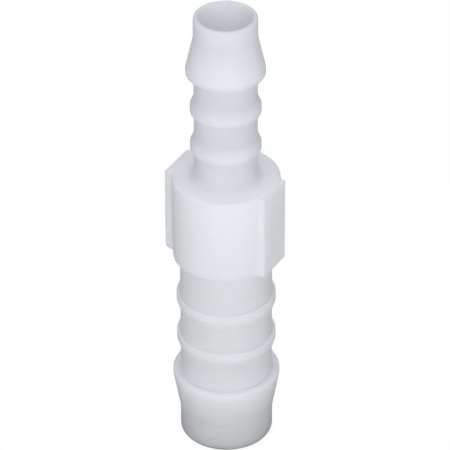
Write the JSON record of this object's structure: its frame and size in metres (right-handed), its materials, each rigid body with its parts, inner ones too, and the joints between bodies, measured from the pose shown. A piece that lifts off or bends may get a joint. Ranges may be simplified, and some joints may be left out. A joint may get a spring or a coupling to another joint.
{
  "type": "reducing hose connector",
  "caption": "Straight plastic reducer that joins hoses of different bore, with barbed tails, a round body and flat grip pads.",
  "frame": {"origin": "centre of the large tail's open end, on the axis of the bore", "axes": "+Z along the bore towards the small tail, +X out through one of the two flat grip pads"},
  "size_m": [0.0143, 0.0138, 0.0626],
  "materials": {
    "moulding": "natural milky white, satin as moulded, slightly translucent"
  },
  "bodies": {
    "root": {"hose_connector": "moulding"}
  },
  "joints": []
}
